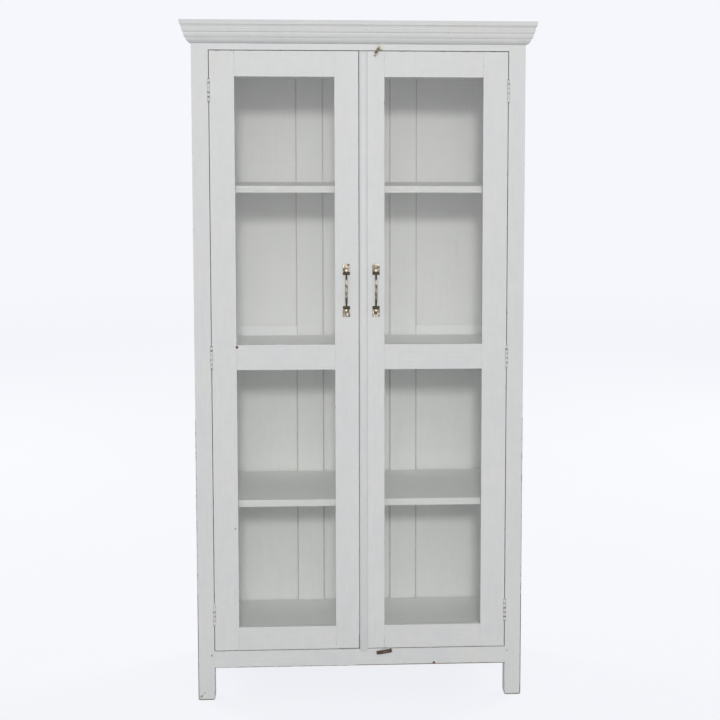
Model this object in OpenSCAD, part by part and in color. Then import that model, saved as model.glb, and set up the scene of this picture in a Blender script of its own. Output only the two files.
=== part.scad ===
/* [Overall] */
// Total height, floor to the top of the cornice
total_h = 1900; // [1700:10:2100]
// Width across the carcass, without the cornice
carcass_w = 914; // [820:2:1000]
// Depth of the carcass, front face to back face
carcass_d = 457; // [400:1:520]
// How far the cornice stands out at the front and sides
cornice_out = 30; // [26:1:36]

/* [Carcass] */
// Width of each corner post, seen from the front
post_w = 46; // [42:1:52]
// Depth of each corner post, seen from the side
post_d = 46; // [42:1:52]
// Height of the underside of the bottom rails above the floor
leg_h = 94; // [70:1:120]
// Height of the front bottom rail
front_rail_h = 48; // [44:1:60]
// Thickness of the front rails
front_rail_t = 26; // [25:1:30]
// Thickness of the side rails
side_rail_t = 24; // [22:1:28]
// Thickness of the back rails and muntins
back_rail_t = 22; // [20:1:26]
// Height of the middle rails of the sides and back
mid_rail_h = 78; // [60:1:90]
// Width of the two upright muntins in the back
muntin_w = 80; // [60:1:90]
// Distance from the middle of the back to the middle of a muntin
muntin_x = 142; // [120:1:170]
// Thickness of the side and back panels
panel_t = 9; // [8:1:10]
// Length of the stub tenons on the rails
tenon_l = 20; // [12:1:24]
// Thickness of the top board
top_board_t = 15; // [12:1:20]

/* [Shelves] */
// Thickness of the shelves and of the floor board
shelf_t = 20; // [16:1:24]
// Distance of the shelf fronts behind the front face
shelf_setback = 47; // [47:1:60]
// Heights of the tops of the three shelves
shelf_top_z = [564, 985, 1451];
// Height of the top of the floor board
floor_top_z = 158; // [156:1:162]

/* [Doors] */
// Height of the top edge of the doors
door_top_z = 1819; // [1700:1:1819]
// Thickness of the doors
door_t = 25; // [22:1:25]
// Gap around and between the doors
door_gap = 2; // [1.8:0.1:2.4]
// Middle of the gap between the two doors, left of the centre line
meeting_x = -2; // [-3:0.5:0]
// Width of the visible wood from the outer door edge to the glass
hinge_stile_w = 68; // [60:1:76]
// Distance from the centre line to the inner edge of the glass
pane_inner_x = 68.5; // [60:0.5:76]
// Height of the door bottom rail
bottom_rail_h = 66; // [60:1:80]
// Height of the underside of the door middle rail
mid_rail_z = 942; // [900:1:980]
// Height of the door middle rail
door_mid_rail_h = 70; // [60:1:80]
// Height of the door top rail
top_rail_h = 70; // [60:1:80]
// Thickness of the glass
glass_t = 3; // [3:0.5:4]
// Width of the astragal bead on the meeting edge
astragal_w = 23; // [18:1:26]
// How far the astragal bead stands out
astragal_out = 8; // [6:1:9]
// How far the astragal bead runs below the doors
astragal_drop = 4.5; // [0:0.5:6]

/* [Hinges] */
// Length of the butt hinges
hinge_l = 64; // [50:1:76]
// Heights of the hinge centres
hinge_z = [250, 978, 1712];
// Outer radius of the hinge knuckles
knuckle_r = 3.5; // [3:0.1:3.5]
// Radius of the hinge pins
pin_r = 1.6; // [1.4:0.1:1.8]
// How far the pin axis stands out of the front face
pin_out = 4; // [4:0.1:5]
// Thickness of a hinge leaf
leaf_t = 1.7; // [1.5:0.1:1.8]
// Width of a hinge leaf behind the front face
leaf_w = 22; // [18:1:23]

/* [Hardware] */
// Height of the middle of the door handles
handle_z = 1163; // [1000:1:1300]
// Length of the handles over their end plates
handle_l = 147; // [120:1:160]
// How far the handles stand out
handle_out = 26; // [20:1:28]
// Radius of the handle bar
handle_bar_r = 2.8; // [2.5:0.1:3.5]
// Distance of the left handle from the centre line
left_handle_x = -37; // [-45:1:-30]
// Distance of the right handle from the centre line
right_handle_x = 45; // [40:1:50]
// Distance of the hook pivot from the centre line
hook_x = 43.5; // [40:0.5:50]
// Depth of the hook pivot below the door top
hook_drop = 8; // [7:0.5:12]
// Distance of the turn button from the centre line
button_x = 67.5; // [60:0.5:90]
// Depth of the turn button pivot below the front rail top
button_drop = 8.3; // [8:0.1:12]
// Length of the turn button
button_l = 44; // [36:1:50]
// Width of the turn button
button_w = 10.5; // [8:0.5:11]
// Tilt of the resting turn button
button_tilt = 9; // [0:1:10]

/* [Hidden] */
$fn = 48;

paint = [0.85, 0.86, 0.85];
paint_edge = [0.78, 0.79, 0.78];
bare_wood = [0.62, 0.52, 0.40];
dark_wood = [0.28, 0.21, 0.16];
brass = [0.62, 0.53, 0.33];
steel = [0.55, 0.55, 0.54];
glass_tint = [0.80, 0.88, 0.86, 0.35];

// Depths are measured backwards from the front face and shifted here, so that the
// origin lies under the middle of the whole object, cornice included.
front_y = cornice_out - (carcass_d + cornice_out) / 2;
half_w = carcass_w / 2;
opening_x = half_w - post_w;
post_top_z = total_h - top_board_t;
front_rail_top = leg_h + front_rail_h;
door_bottom_z = front_rail_top + door_gap;
head_z = door_top_z + door_gap;
leaf_edge_x = opening_x - door_gap;
back_rail_y = carcass_d - back_rail_t;
back_post_y = carcass_d - post_d;
side_in_x = half_w - side_rail_t;
carcass_mid_z = mid_rail_z - 6;
tall_rail_z = head_z - 61;
slack = 1;
eps = 0.01;

// Grooves hold the thin panels; the panels stop short of the bottoms of the grooves.
groove_depth = 8;
panel_reach = groove_depth - slack;
side_panel_x = half_w - (side_rail_t + panel_t) / 2;
back_panel_y = carcass_d - (back_rail_t + panel_t) / 2;
tenon_t = 8;
tenon_inset = 10;
stub_l = 12;

lower_pane_z = [door_bottom_z + bottom_rail_h, mid_rail_z];
upper_pane_z = [mid_rail_z + door_mid_rail_h, door_top_z - top_rail_h];
pane_outer_x = leaf_edge_x - hinge_stile_w;
rebate = 10;
door_tenon_l = 32;
door_tenon_inset = 14;

axis_x = opening_x - door_gap / 2;
knuckles = 5;
knuckle_h = hinge_l / knuckles;
knuckle_gap = 0.2;
leaf_clear = 0.4;
leaf_slit = 0.3;
pin_play = 0.05;
pin_grip = 0.01;
screw_r = 1.5;
screw_head_r = 3.2;
screw_head_h = 1.2;
hinge_screw_l = 16;
handle_screw_l = 15;

hook_z = door_top_z - hook_drop;
latch_offset = [10.5, 19];
latch_z = hook_z + latch_offset[1];
hook_mid = 9;
hook_eye_t = 5;
button_z = front_rail_top - button_drop;
button_gap = 0.6;
button_t = 6;
pivot_r = 2;

module from_front() {
    translate([0, front_y, 0]) children();
}

module box(lo, hi) {
    translate(lo) cube(hi - lo);
}

// A copy for the left side when side is -1, the right side when it is 1.
module to_side(side) {
    if (side > 0) children();
    else mirror([1, 0, 0]) children();
}

// ---------------------------------------------------------------- carcass

// A tenon on a front or back rail, reaching into the right-hand post.
module cross_tenon(y, z0, z1) {
    box([opening_x, y, z0 + tenon_inset], [opening_x + tenon_l, y + tenon_t, z1 - tenon_inset]);
}

// A tenon on a side rail; y is its inner end inside the post.
module side_tenon(y, z0, z1) {
    x = side_panel_x + (panel_t - tenon_t) / 2;
    box([x, y, z0 + tenon_inset], [x + tenon_t, y + tenon_l, z1 - tenon_inset]);
}

front_tenon_y = 8;
back_tenon_y = back_panel_y;

module front_rail_tenons() {
    cross_tenon(front_tenon_y, leg_h, front_rail_top);
    cross_tenon(front_tenon_y, head_z, post_top_z);
}

module back_rail_tenons() {
    cross_tenon(back_tenon_y, leg_h, floor_top_z);
    cross_tenon(back_tenon_y, carcass_mid_z, carcass_mid_z + mid_rail_h);
    cross_tenon(back_tenon_y, tall_rail_z, post_top_z);
}

module side_rail_tenons(y) {
    side_tenon(y, leg_h, floor_top_z);
    side_tenon(y, carcass_mid_z, carcass_mid_z + mid_rail_h);
    side_tenon(y, tall_rail_z, post_top_z);
}

// The grooves that the side panels slide into, along the posts and rails.
module side_panel_space(reach) {
    for (z = [[floor_top_z, carcass_mid_z], [carcass_mid_z + mid_rail_h, tall_rail_z]])
        box([side_panel_x, post_d - reach, z[0] - reach],
            [side_panel_x + panel_t, back_post_y + reach, z[1] + reach]);
}

// The back panels: a tall one in the middle, and two in each outer bay.
module back_panel_space(reach) {
    inner = muntin_x - muntin_w / 2;
    outer = muntin_x + muntin_w / 2;
    box([-inner - reach, back_panel_y, floor_top_z - reach],
        [inner + reach, back_panel_y + panel_t, tall_rail_z + reach]);
    for (side = [-1, 1], z = [[floor_top_z, carcass_mid_z], [carcass_mid_z + mid_rail_h, tall_rail_z]])
        to_side(side)
            box([outer - reach, back_panel_y, z[0] - reach],
                [opening_x + reach, back_panel_y + panel_t, z[1] + reach]);
}

// A post with its foot chamfered all round.
module post_blank(y0) {
    chamfer = 3.5;
    difference() {
        box([opening_x, y0, 0], [half_w, y0 + post_d, post_top_z]);
        for (turn = [0, 90, 180, 270])
            translate([opening_x + post_w / 2, y0 + post_d / 2, 0]) rotate([0, 0, turn])
                translate([turn % 180 == 0 ? post_w / 2 : post_d / 2, 0, 0]) rotate([0, 45, 0])
                    cube([chamfer, post_w + post_d, chamfer] * sqrt(2), center = true);
    }
}

module front_post(side) {
    to_side(side) difference() {
        post_blank(0);
        front_rail_tenons();
        side_rail_tenons(post_d - tenon_l);
        side_panel_space(groove_depth);
        frame_leaf_recesses();
        frame_hinge_screw_set();
        peg();
    }
}

module back_post(side) {
    to_side(side) difference() {
        post_blank(back_post_y);
        back_rail_tenons();
        side_rail_tenons(back_post_y);
        side_panel_space(groove_depth);
        back_panel_space(groove_depth);
    }
}

module front_left_post() { from_front() color(paint) front_post(-1); }
module front_right_post() { from_front() color(paint) front_post(1); }
module back_left_post() { from_front() color(paint) back_post(-1); }
module back_right_post() { from_front() color(paint) back_post(1); }

module both_ends() {
    for (side = [-1, 1]) to_side(side) children();
}

module front_top_rail() {
    from_front() color(paint) difference() {
        union() {
            box([-opening_x, 0, head_z], [opening_x, front_rail_t, post_top_z]);
            both_ends() cross_tenon(front_tenon_y, head_z, post_top_z);
        }
        latch_pin_shape();
    }
}

module front_bottom_rail() {
    from_front() color(paint) difference() {
        union() {
            box([-opening_x, 0, leg_h], [opening_x, front_rail_t, front_rail_top]);
            both_ends() cross_tenon(front_tenon_y, leg_h, front_rail_top);
        }
        both_ends() peg();
        button_screw_shape();
    }
}

// A strip behind the top rail that the doors close against.
module head_stop() {
    stop_t = 14;
    stop_lap = 15;
    from_front() color(paint)
        box([-opening_x, front_rail_t, head_z - stop_lap],
            [opening_x, front_rail_t + stop_t, post_top_z]);
}

module side_rail(side, z0, z1) {
    from_front() color(paint) to_side(side) difference() {
        union() {
            box([side_in_x, post_d, z0], [half_w, back_post_y, z1]);
            side_tenon(post_d - tenon_l, z0, z1);
            side_tenon(back_post_y, z0, z1);
        }
        side_panel_space(groove_depth);
    }
}

module left_top_rail() { side_rail(-1, tall_rail_z, post_top_z); }
module right_top_rail() { side_rail(1, tall_rail_z, post_top_z); }
module left_middle_rail() { side_rail(-1, carcass_mid_z, carcass_mid_z + mid_rail_h); }
module right_middle_rail() { side_rail(1, carcass_mid_z, carcass_mid_z + mid_rail_h); }
module left_bottom_rail() { side_rail(-1, leg_h, floor_top_z); }
module right_bottom_rail() { side_rail(1, leg_h, floor_top_z); }

module side_panels() {
    from_front() color(paint) both_ends() side_panel_space(panel_reach);
}

// A stub tenon on the upper or lower end of a muntin.
module muntin_tenons() {
    box([muntin_x - muntin_w / 2 + tenon_inset, back_tenon_y, floor_top_z - stub_l],
        [muntin_x + muntin_w / 2 - tenon_inset, back_tenon_y + tenon_t, floor_top_z]);
    box([muntin_x - muntin_w / 2 + tenon_inset, back_tenon_y, tall_rail_z],
        [muntin_x + muntin_w / 2 - tenon_inset, back_tenon_y + tenon_t, tall_rail_z + stub_l]);
}

// The stub tenon between a short middle rail and the muntin beside it.
module middle_rail_stub() {
    x = muntin_x + muntin_w / 2;
    box([x - stub_l, back_tenon_y, carcass_mid_z + tenon_inset],
        [x, back_tenon_y + tenon_t, carcass_mid_z + mid_rail_h - tenon_inset]);
}

module back_cross_rail(z0, z1) {
    from_front() color(paint) difference() {
        union() {
            box([-opening_x, back_rail_y, z0], [opening_x, carcass_d, z1]);
            both_ends() cross_tenon(back_tenon_y, z0, z1);
        }
        back_panel_space(groove_depth);
        both_ends() muntin_tenons();
    }
}

module back_top_rail() { back_cross_rail(tall_rail_z, post_top_z); }
module back_bottom_rail() { back_cross_rail(leg_h, floor_top_z); }

module back_middle_rails() {
    from_front() color(paint) both_ends() difference() {
        union() {
            box([muntin_x + muntin_w / 2, back_rail_y, carcass_mid_z],
                [opening_x, carcass_d, carcass_mid_z + mid_rail_h]);
            cross_tenon(back_tenon_y, carcass_mid_z, carcass_mid_z + mid_rail_h);
            middle_rail_stub();
        }
        back_panel_space(groove_depth);
    }
}

module back_muntin(side) {
    from_front() color(paint) to_side(side) difference() {
        union() {
            box([muntin_x - muntin_w / 2, back_rail_y, floor_top_z],
                [muntin_x + muntin_w / 2, carcass_d, tall_rail_z]);
            muntin_tenons();
        }
        back_panel_space(groove_depth);
        middle_rail_stub();
    }
}

module back_left_muntin() { back_muntin(-1); }
module back_right_muntin() { back_muntin(1); }

module back_panels() {
    from_front() color(paint) back_panel_space(panel_reach);
}

module top_board() {
    from_front() color(paint)
        box([-half_w, 0, post_top_z], [half_w, carcass_d, total_h]);
}

// A board between the sides, notched round the back posts.
module notched_board(y0, z_top) {
    notch = opening_x - slack;
    depth = back_rail_y - slack;
    wide = side_in_x - slack;
    notch_y = back_post_y - slack;
    translate([0, 0, z_top - shelf_t]) linear_extrude(shelf_t)
        polygon([[-wide, y0], [wide, y0], [wide, notch_y], [notch, notch_y], [notch, depth],
                 [-notch, depth], [-notch, notch_y], [-wide, notch_y]]);
}

// The floor board also passes between the front posts, up to the backs of the doors.
module floor_board() {
    from_front() color(paint) union() {
        notched_board(post_d + slack, floor_top_z);
        box([-opening_x + slack, front_rail_t, floor_top_z - shelf_t],
            [opening_x - slack, post_d + 2 * slack, floor_top_z]);
    }
}

module shelf(index) {
    from_front() color(paint) notched_board(shelf_setback, shelf_top_z[index]);
}

module shelf_lower() { shelf(0); }
module shelf_middle() { shelf(1); }
module shelf_upper() { shelf(2); }

// Battens between the posts, under the floor board and each shelf.
module shelf_cleats() {
    cleat = 20;
    from_front() color(paint) both_ends()
        for (z = concat([floor_top_z], shelf_top_z))
            box([side_in_x - cleat, post_d, z - shelf_t - cleat],
                [side_in_x, back_post_y, z - shelf_t]);
}

// ---------------------------------------------------------------- cornice

// Points of a hollow or a round between two corners, bulging by the given amount.
function sweep(a, b, bulge, steps = 6) = [
    for (i = [0:steps])
        let (t = i / steps, d = b - a, n = [d[1], -d[0]] / norm(d))
            a + d * t + n * bulge * 4 * t * (1 - t)
];

// Outline of the cornice: distance out of the face, then height above its underside.
// From below: a large round, two small rounds, a hollow and the square top edge.
cornice_h = 62;
cornice_z = total_h - cornice_h;
cornice_outline = concat(
    [[0, 0]],
    sweep([1, 0], [14, 15.5], 3.2),
    sweep([16.2, 16], [19.4, 29.5], 0.9),
    sweep([21.2, 30], [23, 38], 0.6),
    sweep([24.2, 38.6], [27, 49.5], -0.8),
    [[cornice_out - 1.5, 50], [cornice_out, cornice_h], [0, cornice_h]]
);

module cornice_run(length) {
    rotate([90, 0, 90]) linear_extrude(length, center = true) polygon(cornice_outline);
}

module cornice_front() {
    reach = half_w + cornice_out;
    from_front() color(paint) intersection() {
        translate([0, 0, cornice_z]) mirror([0, 1, 0]) cornice_run(2 * reach);
        linear_extrude(total_h)
            polygon([[-half_w, 0], [half_w, 0], [reach, -cornice_out], [-reach, -cornice_out]]);
    }
}

module cornice_side(side) {
    length = carcass_d + cornice_out;
    from_front() color(paint) to_side(side) intersection() {
        translate([half_w, carcass_d - length / 2, cornice_z])
            rotate([0, 0, 90]) mirror([0, 1, 0]) cornice_run(length);
        linear_extrude(total_h)
            polygon([[half_w, 0], [half_w + cornice_out, -cornice_out],
                     [half_w + cornice_out, carcass_d], [half_w, carcass_d]]);
    }
}

module cornice_left() { cornice_side(-1); }
module cornice_right() { cornice_side(1); }

// The peg through a post and the tenon of the front bottom rail.
module peg() {
    peg_r = 3;
    peg_l = 24;
    peg_in = 6.5;
    peg_z = leg_h + front_rail_h * 3 / 4;
    translate([opening_x + peg_in, peg_l, peg_z]) rotate([90, 0, 0])
        cylinder(h = peg_l, r = peg_r);
}

module joint_pegs() {
    from_front() color(bare_wood) both_ends() peg();
}

// ---------------------------------------------------------------- hinges

// Height of the underside of one knuckle of the hinge centred at z.
function knuckle_z(z, i) = z - hinge_l / 2 + i * knuckle_h;

// A countersunk wood screw, head at the origin, pointing along +Z.
module wood_screw(length, r = screw_r, head_r = screw_head_r, head_h = screw_head_h) {
    cylinder(h = length, r = r);
    cylinder(h = head_h, r1 = head_r, r2 = r);
}

// One leaf of each right-hand hinge. dir is 1 for the post leaf and -1 for the door leaf.
module leaf_plate(z, dir) {
    first = dir > 0 ? 0 : 1;
    x0 = dir > 0 ? axis_x + leaf_slit / 2 : axis_x - leaf_slit / 2 - leaf_t;
    difference() {
        union() {
            box([x0, leaf_clear, z - hinge_l / 2], [x0 + leaf_t, leaf_w, z + hinge_l / 2]);
            for (i = [first:2:knuckles - 1]) {
                low = knuckle_z(z, i) + knuckle_gap;
                high = knuckle_z(z, i + 1) - knuckle_gap;
                box([x0, -pin_out, low], [x0 + leaf_t, leaf_clear, high]);
                translate([axis_x, -pin_out, low]) cylinder(h = high - low, r = knuckle_r);
            }
        }
        translate([axis_x, -pin_out, z - hinge_l])
            cylinder(h = 2 * hinge_l, r = dir > 0 ? pin_r + pin_grip : pin_r + pin_play);
    }
}

// The recess that a leaf is let into, a plain housing in the edge of the wood.
module leaf_recess(z, dir) {
    inset = leaf_t + (leaf_slit - door_gap) / 2;
    low = dir > 0 ? opening_x - eps : leaf_edge_x - inset;
    high = dir > 0 ? opening_x + inset : leaf_edge_x + eps;
    box([low, -eps, z - hinge_l / 2], [high, leaf_w, z + hinge_l / 2]);
}

module frame_leaf_recesses() {
    for (z = hinge_z) leaf_recess(z, 1);
}

module door_leaf_recesses() {
    for (z = hinge_z) leaf_recess(z, -1);
}

// Three screws through each leaf, set in a shallow zigzag.
module hinge_screws(dir) {
    x = axis_x + dir * leaf_slit / 2;
    middle_y = leaf_w / 2 + 5;
    outer_y = leaf_w / 2;
    spacing = hinge_l * 0.34;
    for (z = hinge_z, i = [-1, 0, 1])
        translate([x, i == 0 ? middle_y : outer_y, z + i * spacing])
            rotate([0, dir * 90, 0]) wood_screw(hinge_screw_l);
}

module frame_hinge_screw_set() { hinge_screws(1); }
module door_hinge_screw_set() { hinge_screws(-1); }

module hinge_pin(z) {
    translate([axis_x, -pin_out, z - hinge_l / 2]) cylinder(h = hinge_l, r = pin_r);
}

module frame_hinge_leaves() {
    from_front() color(paint_edge) both_ends() {
        difference() {
            for (z = hinge_z) leaf_plate(z, 1);
            frame_hinge_screw_set();
        }
        for (z = hinge_z) hinge_pin(z);
    }
}

module frame_hinge_screws() {
    from_front() color(steel) both_ends() frame_hinge_screw_set();
}

module door_leaves(side) {
    from_front() color(paint_edge) to_side(side) difference() {
        for (z = hinge_z) leaf_plate(z, -1);
        door_hinge_screw_set();
    }
}

module left_hinge_leaves() { door_leaves(-1); }
module right_hinge_leaves() { door_leaves(1); }

// ---------------------------------------------------------------- doors

// Distance of a leaf's meeting edge from the centre line, measured on its own side.
function meeting_edge(side) = door_gap / 2 + side * meeting_x;

// The openings for the glass: the sight size, or wider by reach for the rebate.
module panes(y0, y1, reach) {
    for (z = [lower_pane_z, upper_pane_z])
        box([pane_inner_x - reach, y0, z[0] - reach], [pane_outer_x + reach, y1, z[1] + reach]);
}

module rebates() {
    panes(rebate, door_t + eps, rebate);
}

// Tenons of the three rails of a door, at both of their ends.
module door_tenons() {
    y0 = 12;
    for (z = [[door_bottom_z, lower_pane_z[0]], [mid_rail_z, upper_pane_z[0]], [upper_pane_z[1], door_top_z]])
        box([pane_inner_x - door_tenon_l, y0, z[0] + door_tenon_inset],
            [pane_outer_x + door_tenon_l, y0 + tenon_t, z[1] - door_tenon_inset]);
}

module hinge_stile(side) {
    from_front() color(paint) to_side(side) difference() {
        box([pane_outer_x, 0, door_bottom_z], [leaf_edge_x, door_t, door_top_z]);
        rebates();
        door_tenons();
        door_leaf_recesses();
        door_hinge_screw_set();
    }
}

module meeting_stile(side) {
    from_front() color(paint) to_side(side) difference() {
        box([meeting_edge(side), 0, door_bottom_z], [pane_inner_x, door_t, door_top_z]);
        rebates();
        door_tenons();
        handle_screw_set(side);
        if (side > 0) hook_screw_shape();
    }
}

// A door rail from stile to stile, cut out of the whole rail and its tenons.
module door_rail(side, z0, z1) {
    from_front() color(paint) to_side(side) difference() {
        union() {
            box([pane_inner_x, 0, z0], [pane_outer_x, door_t, z1]);
            intersection() {
                door_tenons();
                box([0, 0, z0], [half_w, door_t, z1]);
            }
        }
        rebates();
    }
}

module left_hinge_stile() { hinge_stile(-1); }
module right_hinge_stile() { hinge_stile(1); }
module left_meeting_stile() { meeting_stile(-1); }
module right_meeting_stile() { meeting_stile(1); }
module left_door_bottom_rail() { door_rail(-1, door_bottom_z, lower_pane_z[0]); }
module right_door_bottom_rail() { door_rail(1, door_bottom_z, lower_pane_z[0]); }
module left_door_middle_rail() { door_rail(-1, mid_rail_z, upper_pane_z[0]); }
module right_door_middle_rail() { door_rail(1, mid_rail_z, upper_pane_z[0]); }
module left_door_top_rail() { door_rail(-1, upper_pane_z[1], door_top_z); }
module right_door_top_rail() { door_rail(1, upper_pane_z[1], door_top_z); }

module pane_glass(side, z) {
    reach = rebate - slack;
    from_front() color(glass_tint) to_side(side)
        box([pane_inner_x - reach, rebate, z[0] - reach],
            [pane_outer_x + reach, rebate + glass_t, z[1] + reach]);
}

module left_upper_glass() { pane_glass(-1, upper_pane_z); }
module right_upper_glass() { pane_glass(1, upper_pane_z); }
module left_lower_glass() { pane_glass(-1, lower_pane_z); }
module right_lower_glass() { pane_glass(1, lower_pane_z); }

// Four square-cut strips behind each pane: the uprights run through, and the short
// strips stop a hair's breadth from them.
module glazing_beads(side) {
    y0 = rebate + glass_t;
    y1 = door_t - 1;
    nip = 0.2;
    from_front() color(paint) to_side(side)
        for (z = [lower_pane_z, upper_pane_z]) {
            for (x = [pane_inner_x - rebate, pane_outer_x])
                box([x, y0, z[0] - rebate], [x + rebate, y1, z[1] + rebate]);
            for (low = [z[0] - rebate, z[1]])
                box([pane_inner_x + nip, y0, low], [pane_outer_x - nip, y1, low + rebate]);
        }
}

module left_glazing_beads() { glazing_beads(-1); }
module right_glazing_beads() { glazing_beads(1); }

// The bead nailed over the meeting edge of the right door: a shallow round on a flat back.
module astragal() {
    side_h = 4;
    x0 = meeting_edge(1);
    sag = astragal_out - side_h;
    arc_r = (pow(astragal_w / 2, 2) + sag * sag) / (2 * sag);
    from_front() color(paint)
        translate([x0, 0, door_bottom_z - astragal_drop])
            linear_extrude(door_top_z - door_bottom_z + astragal_drop) intersection() {
                translate([0, -astragal_out]) square([astragal_w, astragal_out]);
                translate([astragal_w / 2, arc_r - astragal_out]) circle(r = arc_r, $fn = 180);
            }
}

// ---------------------------------------------------------------- handles and latches

plate_w = 20;
plate_l = 28;
plate_t = 2.5;
collar_l = 6.5;
collar_h = 7;

// Screws through the handle's end plates, one at each end.
module handle_screw_set(side) {
    x = side > 0 ? right_handle_x : -left_handle_x;
    from_end = 5.5;
    for (end = [-1, 1])
        translate([x, -plate_t, handle_z + end * (handle_l / 2 - from_end)]) rotate([-90, 0, 0])
            wood_screw(handle_screw_l, head_r = 3.5, head_h = 2);
}

// A bow pull: a square plate at each end with a round boss and a collar, and a round
// bowed bar from collar to collar.
module bow_pull(side) {
    x = side > 0 ? right_handle_x : -left_handle_x;
    boss_r = 6.5;
    boss_h = 6.5;
    plate_z = handle_l / 2 - plate_l;
    foot_z = plate_z + collar_l / 2;
    boss_z = plate_z + collar_l + boss_r - 1;
    rise = handle_out - handle_bar_r - plate_t;
    bow_r = (foot_z * foot_z + rise * rise) / (2 * rise);
    half_angle = asin(foot_z / bow_r);
    translate([x, 0, handle_z]) difference() {
        union() {
            for (end = [0, 1]) mirror([0, 0, end]) {
                box([-plate_w / 2, -plate_t, plate_z], [plate_w / 2, 0, handle_l / 2]);
                box([-plate_w / 2, -collar_h, plate_z], [plate_w / 2, 0, plate_z + collar_l]);
                translate([0, 0, boss_z]) rotate([90, 0, 0]) cylinder(h = boss_h, r = boss_r);
            }
            translate([0, bow_r - rise - plate_t, 0]) rotate([0, 90, 0])
                rotate([0, 0, 270 - half_angle])
                    rotate_extrude(angle = 2 * half_angle, $fn = 96)
                        translate([bow_r, 0]) circle(r = handle_bar_r, $fn = 24);
        }
        translate([-x, 0, -handle_z]) handle_screw_set(side);
    }
}

module left_handle() { from_front() color(brass) to_side(-1) bow_pull(-1); }
module right_handle() { from_front() color(brass) bow_pull(1); }

module left_door_screws() {
    from_front() color(steel) to_side(-1) {
        door_hinge_screw_set();
        handle_screw_set(-1);
    }
}

module right_door_screws() {
    from_front() color(steel) {
        door_hinge_screw_set();
        handle_screw_set(1);
    }
}

// The pivot of the hook: a spacer on the door and a round-headed screw through it.
module hook_screw_shape() {
    grip = 14;
    translate([hook_x, 0, hook_z]) rotate([-90, 0, 0]) cylinder(h = grip, r = screw_r);
}

module hook_pivot() {
    spacer_r = 4;
    head_r = 3.6;
    head_h = 1.8;
    back = hook_mid - hook_eye_t / 2;
    front = hook_mid + hook_eye_t / 2;
    from_front() color(brass) {
        hook_screw_shape();
        translate([hook_x, 0, hook_z]) rotate([90, 0, 0]) {
            cylinder(h = back - 0.3, r = spacer_r);
            cylinder(h = front + 0.5, r = pivot_r);
            translate([0, 0, front + 0.3]) cylinder(h = head_h, r = head_r);
        }
    }
}

// The hook lies parallel to the door face: an eye, a ribbed round shank that leans to the
// right, and a thin curl that goes round the right side of the pin, open to the left.
module door_hook() {
    lean = atan2(latch_offset[1], latch_offset[0]);
    eye_r = 4.2;
    shank_r = 2.7;
    rib_r = 5.2;
    rib_l = 2.2;
    rib_pitch = 3.6;
    ribs = 4;
    tail = 4.5;
    shank_l = 17.5;
    curl_r = 9.4;
    wire_r = 1.1;
    curl_from = -100;
    curl_to = 62;
    curl_centre = [latch_offset[0] + 0.8, latch_offset[1] + 1.6];
    curl_start = curl_centre + curl_r * [cos(curl_from), sin(curl_from)];
    from_front() color(brass)
        translate([hook_x, -hook_mid, hook_z]) rotate([90, 0, 0]) difference() {
            union() {
                translate([0, 0, -hook_eye_t / 2]) cylinder(h = hook_eye_t, r = eye_r);
                rotate([0, 0, lean]) rotate([0, 90, 0]) {
                    translate([0, 0, -tail]) cylinder(h = tail + shank_l, r = shank_r);
                    for (i = [0:ribs - 1])
                        translate([0, 0, shank_l - rib_l - i * rib_pitch]) cylinder(h = rib_l, r = rib_r);
                }
                translate(concat(curl_centre, 0)) rotate([0, 0, curl_from])
                    rotate_extrude(angle = curl_to - curl_from, $fn = 96)
                        translate([curl_r, 0]) circle(r = wire_r, $fn = 20);
                translate(concat(curl_start, 0)) sphere(r = wire_r, $fn = 20);
            }
            translate([0, 0, -hook_eye_t]) cylinder(h = 2 * hook_eye_t, r = pivot_r + 0.06);
        }
}

// The round-headed stud on the frame that the hook curls round.
module latch_pin_shape() {
    stud_r = 1.8;
    head_r = 3.2;
    head_h = 1.6;
    stud_out = hook_mid + 2.4;
    grip = 14;
    translate([hook_x + latch_offset[0], -stud_out, latch_z]) rotate([-90, 0, 0]) {
        cylinder(h = stud_out + grip, r = stud_r);
        cylinder(h = head_h, r = head_r);
    }
}

module latch_pin() { from_front() color(brass) latch_pin_shape(); }

// The screw that the turn button swings on.
module button_screw_shape() {
    head_r = 3.3;
    head_h = 1.8;
    grip = 16;
    front = button_gap + button_t + 0.2;
    translate([button_x, -front, button_z]) rotate([-90, 0, 0]) {
        cylinder(h = front + grip, r = pivot_r);
        translate([0, 0, -head_h]) cylinder(h = head_h, r = head_r);
    }
}

module button_screw() { from_front() color(steel) button_screw_shape(); }

module turn_button() {
    from_front() color(dark_wood)
        translate([button_x, -button_gap, button_z]) rotate([90, 0, 0]) rotate([0, 0, button_tilt])
            difference() {
                box([-button_l / 2, -button_w / 2, 0], [button_l / 2, button_w / 2, button_t]);
                translate([0, 0, -1]) cylinder(h = button_t + 2, r = pivot_r + 0.06);
            }
}

front_left_post();
front_right_post();
back_left_post();
back_right_post();
front_top_rail();
front_bottom_rail();
head_stop();
left_top_rail();
left_middle_rail();
left_bottom_rail();
right_top_rail();
right_middle_rail();
right_bottom_rail();
side_panels();
back_top_rail();
back_bottom_rail();
back_middle_rails();
back_left_muntin();
back_right_muntin();
back_panels();
top_board();
floor_board();
shelf_lower();
shelf_middle();
shelf_upper();
shelf_cleats();
cornice_front();
cornice_left();
cornice_right();
joint_pegs();
frame_hinge_leaves();
frame_hinge_screws();
latch_pin();
button_screw();
left_hinge_stile();
left_meeting_stile();
left_door_top_rail();
left_door_middle_rail();
left_door_bottom_rail();
left_upper_glass();
left_lower_glass();
left_glazing_beads();
left_hinge_leaves();
left_door_screws();
left_handle();
right_hinge_stile();
right_meeting_stile();
right_door_top_rail();
right_door_middle_rail();
right_door_bottom_rail();
right_upper_glass();
right_lower_glass();
right_glazing_beads();
right_hinge_leaves();
right_door_screws();
right_handle();
astragal();
hook_pivot();
door_hook();
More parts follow.
